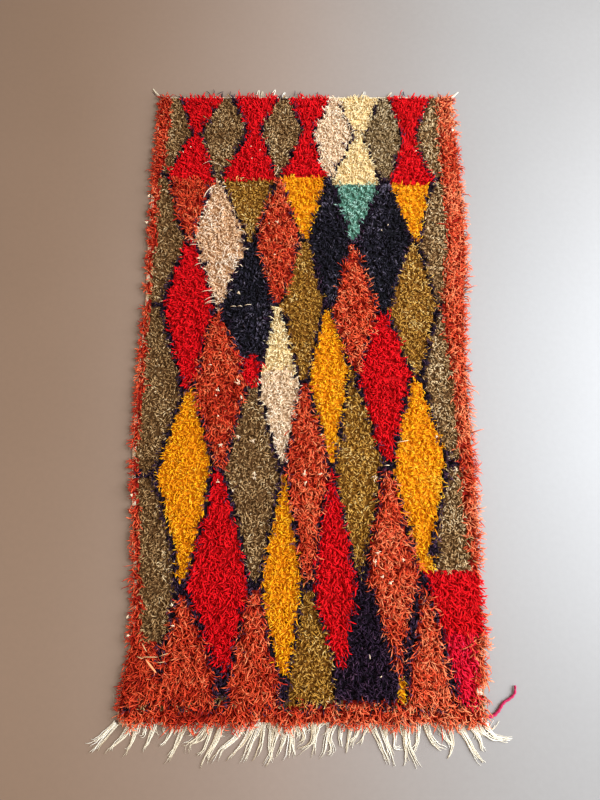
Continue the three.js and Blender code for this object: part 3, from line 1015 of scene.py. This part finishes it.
# The short ends of each tangle, as rows like those above: each is a share of the tangle's width
# long, lies about its middle, and heads and curls any way
def tangleRows(chance):
    x, y, width = np.repeat(np.array(tangles, float), tangle["curls"], axis=0).T
    length = width * chance.uniform(*tangle["share"], len(x))
    heading = chance.uniform(0, 360, len(x))
    stray = chance.uniform(-tangle["offset"], tangle["offset"], (2, len(x))) * width
    return np.stack([
        x + stray[0] - np.cos(np.radians(heading)) * length / 2,
        y + stray[1] - np.sin(np.radians(heading)) * length / 2,
        length,
        chance.uniform(*tangle["thickness"], len(x)),
        heading,
        chance.uniform(-tangle["curl"], tangle["curl"], len(x)),
    ], axis=-1)


# Each stray is an arc laid on the pile, its heading turning evenly by its curl; its height is
# the pile's plus arch times sin(pi t), less the dip times 1 - sin(pi t) to the dipPower, so that
# both ends go into the pile. Those that start past the plain end's edge lie near the floor.
def makeStrays():
    pieces = []
    t = np.linspace(0, 1, strayShape["stations"])
    for yarnName, rows in strays.items():
        if yarnName == "cream":
            rows = [*rows, *tangleRows(np.random.default_rng(tangle["seed"]))]
        x, y, length, thick, heading, curl = np.array(rows, float).T[..., None]
        turn = np.radians(heading + curl * t)
        step = length * mm / (len(t) - 1)
        flatX = x * mm + np.cumsum(np.cos(turn) * step, axis=1)
        flatY = y * mm + np.cumsum(np.sin(turn) * step, axis=1)
        rise = np.sin(math.pi * t)
        deep = np.minimum(length, strayShape["dipLength"]) / strayShape["dipPart"]
        dip = deep * (1 - rise ** strayShape["dipPower"])
        high = strayShape["height"] + strayShape["arch"] * rise - dip
        height = np.where(y > strayShape["pastEdge"], strayShape["lowHeight"] + 0 * t, high) * mm
        path = np.stack([flatX, flatY, height], axis=-1)
        radii = thick / 2 * mm * (strayShape["tipShare"] + strayShape["middleGain"] * rise)
        shade = np.full(len(rows), strayShades[yarnName])
        part = tubes(path, radii, strayShape["around"], shade, True, strayShape["cardReach"] * t)
        pieces.append(addTubes("stray_" + yarnName, [part], pileFinishes[yarnName]))
    print("strays:", sum(triangles[piece.name] for piece in pieces), "triangles")
    return pieces


strayPieces = makeStrays()

# Undyed cotton of the warp, from dark to light
cottonShades = [
    paint(204, 184, 150),
    paint(232, 216, 186),
    paint(246, 236, 212),
    paint(254, 248, 234),
]


# A grid of quads between two grids of points, top and bottom, and a wall round their rims
def slab(top, bottom):
    rows, columns = top.shape[:2]
    points = np.concatenate([top.reshape(-1, 3), bottom.reshape(-1, 3)])
    row, column = np.meshgrid(np.arange(rows - 1), np.arange(columns - 1), indexing="ij")
    corner = row * columns + column
    quads = np.stack([corner, corner + 1, corner + columns + 1, corner + columns], axis=-1)
    quads = quads.reshape(-1, 4)
    under = quads[:, ::-1] + rows * columns
    rim = np.concatenate([
        np.arange(columns - 1),
        np.arange(rows - 1) * columns + columns - 1,
        rows * columns - 1 - np.arange(columns - 1),
        (rows - 1 - np.arange(rows - 1)) * columns,
    ])
    after = np.roll(rim, -1)
    wall = np.stack([rim, rim + rows * columns, after + rows * columns, after], axis=-1)
    return points, np.concatenate([quads, under, wall])


groundLook = {
    # The painted shade in the lines between the knots fades out over grooveWidth and leaves them
    # grooveLight as light
    "grooveWidth": 0.5,
    "grooveLight": 0.62,
    "fuzzScale": 3.0,
    "fuzzDetail": 4.0,
    "light": 0.75,
    "fuzzLight": 0.5,
    "roughness": 0.8,
    "fuzzRoughness": 0.18,
    "specular": 0.2,
    "fuzzHeight": 0.3,
    "bump": 0.8,
    "bumpHeight": 1.2,  # mm
}


# The ground's colour is each knot's own, darkened halfway to its yarn's painted deep shade, and its
# grooves are the lines between the knots, where the sine of the place across or along, counted in
# knots, is 0, and which have painted shade
def groundFinish():
    finish = Finish("ground weave")
    yarn = finish.add("ShaderNodeAttribute", {"attribute_name": "yarn"})
    place = finish.add("ShaderNodeUVMap", {"uv_map": "weave"})
    across = finish.add("ShaderNodeSeparateXYZ", {}, {0: place}, "X")
    along = across.pick("Y")
    knot = abs((across * math.pi).sine()) * abs((along * math.pi).sine())
    return clothSurface(finish, yarn, knot, place, groundLook)


# A slab with one cell to a knot, whose rows stand higher and lower by turns as the weft does.
# The first two rows of cells and the last are the headings, which have no knots.
def makeGround():
    rows, columns = len(allStations), len(acrossShares)
    y = np.repeat(allStations, columns).reshape(rows, columns)
    x = onGround(np.tile(acrossShares, (rows, 1)), y)
    rib = weave["rib"] * mm * np.where(np.arange(rows) % 2, 1, -1)[:, None]
    high = np.full_like(x, weave["thickness"] * mm) + rib
    high[[0, 1, -1]] -= weave["headingDrop"] * mm
    low = np.full_like(x, weave["floorGap"] * mm)
    points, quads = slab(np.stack([x, y, high], -1), np.stack([x, y, low], -1))
    corners = quads.ravel()
    ground = addPiece("ground_weave", points, corners, np.full(len(quads), 4), groundFinish())
    cellYarn = np.full((rows - 1, columns - 1), len(yarnNames))
    cellYarn[2:-1] = knots["yarn"].reshape(weave["knotRows"], weave["knotsAcross"])
    # Each knot's cell is halfway between its yarn's darkest shade and its painted deep shade: the knot's
    # own colour with painted shade, as the ground shows in the gaps of the pile
    colours = [np.add(yarns[name]["deep"], yarns[name]["shades"][0]) / 2 for name in yarnNames]
    cellColour = np.array([*colours, cottonShades[1]])[cellYarn.ravel()]
    wallCount = len(quads) - 2 * len(cellColour)
    wallColour = np.tile(cottonShades[2], (wallCount, 1))
    faceColour = np.concatenate([cellColour, cellColour, wallColour])
    layer = ground.data.color_attributes.new("yarn", "FLOAT_COLOR", "CORNER")
    layer.data.foreach_set("color", np.repeat(faceColour, 4, axis=0).astype(np.float32).ravel())
    steps = np.stack(np.meshgrid(np.arange(columns), np.arange(rows)), axis=-1).reshape(-1, 2)
    weaveMap = np.concatenate([steps, steps])[corners]
    uv = ground.data.uv_layers.new(name="weave")
    uv.uv.foreach_set("vector", weaveMap.astype(np.float32).ravel())
    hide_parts("rug_body")
    return ground


ground = makeGround()
print("ground:", triangles["ground_weave"], "triangles")

# The two long edges: warps bound together with the weft, which shows as stitches. In millimetres.
selvedge = {
    "shades": [
        paint(132, 84, 58),
        paint(186, 138, 104),
        paint(214, 178, 146),
        paint(234, 212, 186),
    ],
    "sideShades": (0.6, 0.3),  # left and right
    "thickness": 5.6,
    "stitch": 12.0,
    "stationsToStitch": 3,
    "swell": 0.16,  # as a share of the radius
    "wave": 1.3,
    "inset": 9.0,
    "height": 3.2,
    "around": 6,
    "twists": 220,
    "seed": 51,
}


# A cord along each side at the ground's edge; its radius swells once at each stitch, as
# 1 - swell + swell * |sin|, and its line wanders a little
def makeSelvedges():
    step = selvedge["stitch"] / selvedge["stationsToStitch"] * mm
    low = pileLow.y - weave["fringeHeading"] * mm
    y = np.arange(low, pileHigh.y + weave["plainHeading"] * mm, step)
    chance = np.random.default_rng(selvedge["seed"])
    heights = np.linspace(0, 1, len(y))
    phase = math.pi * y / (selvedge["stitch"] * mm)
    swell = 1 - selvedge["swell"] + selvedge["swell"] * abs(np.sin(phase))
    radius = selvedge["thickness"] / 2 * mm * swell
    parts = []
    for edge, inward, sideShade in zip(pileEdges(y), (1, -1), selvedge["sideShades"]):
        wave = selvedge["wave"] * mm * drift(y, y * 0, chance, shortest=0.03, longest=0.2)
        x = edge + inward * selvedge["inset"] * mm + wave
        line = np.stack([x, y, np.full_like(y, selvedge["height"] * mm)], axis=-1)
        shade = np.array([sideShade])
        parts.append(tubes(line[None], radius[None], selvedge["around"], shade, False, heights))
    finish = yarnFinish("selvedge cotton", selvedge["shades"], plies=1, turns=selvedge["twists"])
    return addTubes("selvedge_cords", parts, finish)


selvedges = makeSelvedges()
print("side cords:", triangles["selvedge_cords"], "triangles")

# Warp ends past the fringed end, in bundles: where each leaves the heading, where it bends,
# where its tip lies and how wide it is, in millimetres
fringe = [
    (-503, -544, -1000, -577, -1035, 10),
    (-506, -547, -994, -587, -1008, 6),
    (-461, -495, -1003, -531, -1033, 12),
    (-446, -458, -1013, -484, -1035, 8),
    (-397, -412, -1005, -431, -1028, 9),
    (-342, -360, -1003, -382, -1013, 6),
    (-315, -335, -1013, -365, -1054, 11),
    (-249, -281, -998, -319, -1007, 9),
    (-246, -278, -1010, -312, -1028, 7),
    (-238, -253, -1018, -279, -1040, 6),
    (-210, -239, -1018, -266, -1064, 11),
    (-153, -184, -1008, -241, -1047, 11),
    (-127, -160, -1013, -192, -1050, 9),
    (-108, -132, -1018, -170, -1057, 13),
    (-98, -97, -1005, -125, -1050, 7),
    (-72, -86, -1010, -72, -1052, 9),
    (-50, -68, -1013, -99, -1057, 9),
    (-31, -42, -1003, -66, -1042, 9),
    (-24, -28, -1020, -33, -1054, 7),
    (-16, -16, -1013, -20, -1045, 7),
    (-4, 22, -1000, -6, -1014, 7),
    (38, 35, -1005, 5, -1041, 9),
    (52, 46, -1005, 27, -1037, 8),
    (85, 79, -1003, 51, -1037, 9),
    (98, 90, -1003, 70, -1028, 8),
    (121, 109, -993, 110, -1020, 9),
    (145, 131, -995, 131, -1028, 8),
    (167, 153, -993, 139, -1015, 8),
    (196, 178, -996, 150, -1001, 5),
    (199, 213, -1003, 245, -1054, 10),
    (225, 241, -1008, 255, -1060, 10),
    (236, 243, -1005, 243, -1053, 8),
    (256, 257, -1003, 281, -1025, 9),
    (295, 295, -1018, 329, -1070, 9),
    (288, 289, -1018, 292, -1065, 8),
    (327, 326, -1005, 306, -1028, 9),
    (349, 356, -1003, 396, -1023, 10),
    (387, 405, -1005, 418, -1018, 8),
    (409, 429, -1018, 408, -1045, 7),
    (441, 457, -1015, 506, -1050, 11),
    (467, 493, -1000, 526, -1028, 9),
    (488, 502, -1003, 551, -948, 9),
    (505, 515, -1000, 587, -997, 20),
]
warp = {
    "thread": 3.1,  # thickness, mm
    "threads": (0.6, 1.15),  # thinnest and thickest, as shares of it
    "threadsPerWidth": 0.6,
    "fewest": 2,
    "tipShares": (0.45, 1.08),  # how far from bend to tip the threads reach
    "stations": 12,
    "around": 5,
    "rootY": -953,
    "rootHeight": 3.8,
    "rootSpread": 1.5,  # how much wider than the table a bundle is at the root, and at its tip
    "tipSpread": 0.45,
    "twist": 1.6,  # how far the threads wind round their bundle, radians
    "winds": (0.4, 1),
    "kink": 5.0,  # how far a bundle sways on the way, mm, and how often
    "waves": (1.0, 2.2),
    "crimp": 1.3,  # how far a thread does, and how often, radians
    "crimps": (10, 22),
    "phases": (0, 6),
    "splay": 4.5,
    "floorGap": 0.3,
    "lift": 0.9,  # threads that cross over others lie this many threads higher, but for the
    "liftLoss": 0.7,  # share that they lose on the way
    "settle": 2.6,  # they come down from the heading in this part of the way, as 1 / settle
    "thin": 0.62,
    "middleShade": 0.58,
    "scatter": 0.2,
    "twists": 16,
    "seed": 63,
}
# Short ends between the bundles: inset from the sides and length in mm, angles in degrees
stubs = {
    "count": 70,
    "inset": 16,
    "start": -963,  # how far down the rug they begin
    "lengths": (12, 36),
    "bend": 0.5,  # they bend at this share of their length
    "fan": 26,
    "stray": 26,
    "turn": 30,
    "width": 4.0,
}


# The short ends as rows like the table's, fanning out towards the sides
def stubRows(chance):
    count = stubs["count"]
    left, right = [edge.item() / mm for edge in pileEdges(np.array([pileLow.y]))]
    rootX = chance.uniform(left + stubs["inset"], right - stubs["inset"], count)
    length = chance.uniform(*stubs["lengths"], count)
    fan = stubs["fan"] * (rootX / right)
    lean = np.radians(-90 + fan + stubs["stray"] * chance.standard_normal(count))
    turned = lean + np.radians(stubs["turn"] * chance.standard_normal(count))
    bend = stubs["bend"] * length
    return np.stack([
        rootX,
        rootX + bend * np.cos(lean),
        stubs["start"] + bend * np.sin(lean),
        rootX + length * np.cos(turned),
        stubs["start"] + length * np.sin(turned),
        np.full(count, stubs["width"]),
    ], axis=-1)


# Threads of many bundles at once. The bundle's line is a quadratic curve from root through
# bend to tip that also sways as sin(pi t * waves); its threads lie side by side at the root, wind
# round it and splay from it as they near the tip. Returns their paths and radii.
def bundleThreads(rows, values, chance):
    rootX, bendX, bendY, tipX, tipY, width = np.array(rows, float).T * mm
    threads = np.round(width / mm * values["threadsPerWidth"])
    threads = np.maximum(values["fewest"], threads).astype(int)
    bundle = np.repeat(np.arange(len(threads)), threads)
    count = len(bundle)
    within = np.concatenate([np.linspace(-1, 1, number) for number in threads])
    t = np.linspace(0, 1, values["stations"])[None, :, None]
    rootY = np.full_like(rootX, values["rootY"] * mm)
    pairs = ((rootX, rootY), (bendX, bendY), (tipX, tipY))
    root, bend, tip = [np.stack(pair, axis=-1)[bundle][:, None] for pair in pairs]
    tip = bend + (tip - bend) * chance.uniform(*values["tipShares"], (count, 1, 1))
    line = root * (1 - t) ** 2 + bend * 2 * t * (1 - t) + tip * t**2
    along = unit(np.gradient(line, axis=1))
    across = np.stack([-along[..., 1], along[..., 0]], -1)
    half = width[bundle, None] / 2
    share = t[..., 0]
    waves = chance.uniform(*values["waves"], len(threads))[bundle, None]
    kink = values["kink"] * mm * chance.standard_normal(len(threads))[bundle, None]
    wind = chance.uniform(*values["winds"], (count, 1)) * values["twist"] * share
    wind = within[:, None] * math.pi / 2 + wind
    splay = values["splay"] * mm * chance.standard_normal((count, 1)) * share**2
    crimps = chance.uniform(*values["crimps"], (count, 1)) * share
    crimp = values["crimp"] * mm * np.sin(crimps + chance.uniform(*values["phases"], (count, 1)))
    spread = values["rootSpread"] + (values["tipSpread"] - values["rootSpread"]) * share
    offset = half * spread * np.sin(wind) + splay + crimp * share
    offset = offset + kink * np.sin(math.pi * waves * share) * share
    flat = line + across * offset[..., None]
    radius = values["thread"] / 2 * mm * chance.uniform(*values["threads"], (count, 1))
    lift = abs(np.cos(wind)) * values["thread"] * values["lift"] * mm
    lift = lift * (1 - values["liftLoss"] * share)
    above = np.clip(1 - values["settle"] * share, 0, 1) ** 2
    settle = (values["rootHeight"] * mm - radius) * above
    height = radius + values["floorGap"] * mm + lift + settle
    taper = 1 - values["thin"] * share**2
    return np.concatenate([flat, height[..., None]], axis=-1), radius * taper


# Random shades about the middle one
def scatteredShades(values, count, chance):
    shade = values["middleShade"] + values["scatter"] * chance.standard_normal(count)
    return np.clip(shade, 0, pile["palest"])


# All the bundles and short ends as one piece of tubes
def makeFringe():
    chance = np.random.default_rng(warp["seed"])
    path, radii = bundleThreads([*fringe, *stubRows(chance)], warp, chance)
    heights = np.linspace(0, 1, warp["stations"])
    shade = scatteredShades(warp, len(path), chance)
    part = tubes(path, radii, warp["around"], shade, False, heights)
    finish = yarnFinish("warp cotton", cottonShades, turns=warp["twists"])
    threads = addTubes("fringe_threads", [part], finish)
    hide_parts("warp_fringe")
    print("fringe:", len(path), "threads,", triangles["fringe_threads"], "triangles")
    return threads, finish


fringeThreads, warpFinish = makeFringe()

# Loops and single threads past the plain end: root, bend, tip and width, in millimetres
loops = [
    (-482, -496, 1048, -511, 1070, 5),
    (-144, -145, 1048, -141, 1063, 8),
    (-130, -131, 1046, -128, 1059, 6),
    (-94, -92, 1050, -84, 1066, 9),
    (-55, -56, 1044, -51, 1055, 7),
    (224, 222, 1044, 227, 1058, 8),
    (308, 310, 1042, 321, 1055, 5),
    (528, 540, 1042, 553, 1056, 5),
]
loopShape = {
    "rootGap": 1.0,  # from the pile, mm
    "thickness": 2.2,
    "height": 2.0,
    "archHeight": 2.0,
    "waveHeight": 0.8,
    "stations": 18,
    "around": 5,
    "middleShade": 0.55,
    "scatter": 0.25,
    "seed": 64,
}


# A loop goes out along root, bend and tip and comes back beside itself, so that its place is
# the curve's at sin(pi t), shifted sideways by half its width times cos(pi t). It comes down
# from archHeight as it goes out, and waves up and down as sin(3 pi t).
def makeLoops():
    chance = np.random.default_rng(loopShape["seed"])
    rootX, bendX, bendY, tipX, tipY, width = np.array(loops, float).T[..., None] * mm
    t = np.linspace(0, 1, loopShape["stations"])
    out = np.sin(math.pi * t)
    rootY = pileHigh.y + loopShape["rootGap"] * mm
    x = rootX * (1 - out) ** 2 + bendX * 2 * out * (1 - out) + tipX * out**2
    y = rootY * (1 - out) ** 2 + bendY * 2 * out * (1 - out) + tipY * out**2
    x = x - np.cos(math.pi * t) * width / 2
    arch = loopShape["height"] + loopShape["archHeight"] * (1 - out)
    z = (arch + loopShape["waveHeight"] * np.sin(3 * math.pi * t)) * mm + 0 * x
    path = np.stack([x, y, z], axis=-1)
    radii = np.full(path.shape[:2], loopShape["thickness"] / 2 * mm)
    shade = scatteredShades(loopShape, len(path), chance)
    part = tubes(path, radii, loopShape["around"], shade, False, t)
    loopPiece = addTubes("plain_end_loops", [part], warpFinish)
    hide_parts("plain_end_warps")
    return loopPiece


plainLoops = makeLoops()
print("plain end loops:", triangles["plain_end_loops"], "triangles")

# Floor and light, in metres
floorLook = {
    "size": 60.0,
    # The floor's colours are painted shade and light: darker and warmer on the left, away from the window,
    # and paler on the right
    "colours": [paint(126, 100, 79), paint(140, 122, 109), paint(138, 134, 130)],
    "turn": (-0.9, 0.8),  # they change from left to right between these
    "cloud": (2.2, 5.0),  # scale and detail, and those of the grain
    "grain": (60.0, 3.0),
    "light": 0.9,
    "mottle": 0.1,  # what cloud and grain each add to it
    "roughness": 0.5,
    "cloudRoughness": 0.12,
    "specular": 0.9,
    "grainHeight": 0.35,
    "bump": 0.14,
    "bumpHeight": 0.002,
}
sky = {
    "strength": 0.44,
    "colour": (1.05, 0.9, 0.76, 1),
}
# A cool window on the right and a faint warm lamp on the left
window = {
    "place": (3.4, 0.4, 2.4),
    "size": 3.4,
    "power": 505,
    "colour": (0.88, 0.97, 1.08),
}
room = {
    "place": (-2.4, -1.4, 2.4),
    "size": 2.0,
    "power": 20,
    "colour": (1.0, 0.86, 0.72),
}


# Smooth floor, clouded and finely grained, whose colour turns from left to right: painted shade, darker and
# warmer, on the left away from the window, and painted light on the right
def floorFinish():
    finish = Finish("pale floor")
    place = finish.add("ShaderNodeTexCoord", output="Object")
    cloud = finish.noise(place, *floorLook["cloud"])
    grain = finish.noise(place, *floorLook["grain"])
    across = finish.add("ShaderNodeSeparateXYZ", {}, {0: place}, "X")
    # Painted shade and light: the colour darkens and warms towards the left
    turn = finish.between(across, *floorLook["turn"])
    colour = finish.ramp(turn, floorLook["colours"])
    light = floorLook["light"] + floorLook["mottle"] * cloud + floorLook["mottle"] * grain
    height = cloud + floorLook["grainHeight"] * grain
    return finish.close({
        "Base Color": finish.scale(colour, light),
        "Roughness": floorLook["roughness"] + floorLook["cloudRoughness"] * cloud,
        "Specular IOR Level": floorLook["specular"],
        "Normal": finish.bump(height, floorLook["bump"], floorLook["bumpHeight"]),
    })


# One large square at height 0
def makeFloor():
    half = floorLook["size"] / 2
    points = [(-half, -half, 0), (half, -half, 0), (half, half, 0), (-half, half, 0)]
    mesh = bpy.data.meshes.new("floor")
    mesh.from_pydata(points, [], [(0, 1, 2, 3)])
    mesh.materials.append(floorFinish())
    floor = bpy.data.objects.new("floor", mesh)
    bpy.context.scene.collection.objects.link(floor)


# A square lamp that faces the middle of the rug
def addLamp(name, values):
    data = bpy.data.lights.new(name, "AREA")
    data.size = values["size"]
    data.energy = values["power"]
    data.color = values["colour"]
    lamp = bpy.data.objects.new(name, data)
    lamp.location = values["place"]
    aim = -np.array(values["place"])
    lamp.rotation_euler = (
        math.atan2(math.hypot(aim[0], aim[1]), -aim[2]),
        0,
        math.atan2(aim[1], aim[0]) - math.pi / 2,
    )
    bpy.context.scene.collection.objects.link(lamp)


def lightStudio():
    addLamp("window", window)
    addLamp("room", room)
    world = bpy.data.worlds.new("studio")
    world.use_nodes = True
    background = world.node_tree.nodes["Background"]
    background.inputs["Color"].default_value = sky["colour"]
    background.inputs["Strength"].default_value = sky["strength"]
    bpy.context.scene.world = world
    bpy.context.scene.view_settings.view_transform = "Standard"


makeFloor()
lightStudio()
print("floor and lamps set")
print("triangles in all:", sum(triangles.values()), triangles)
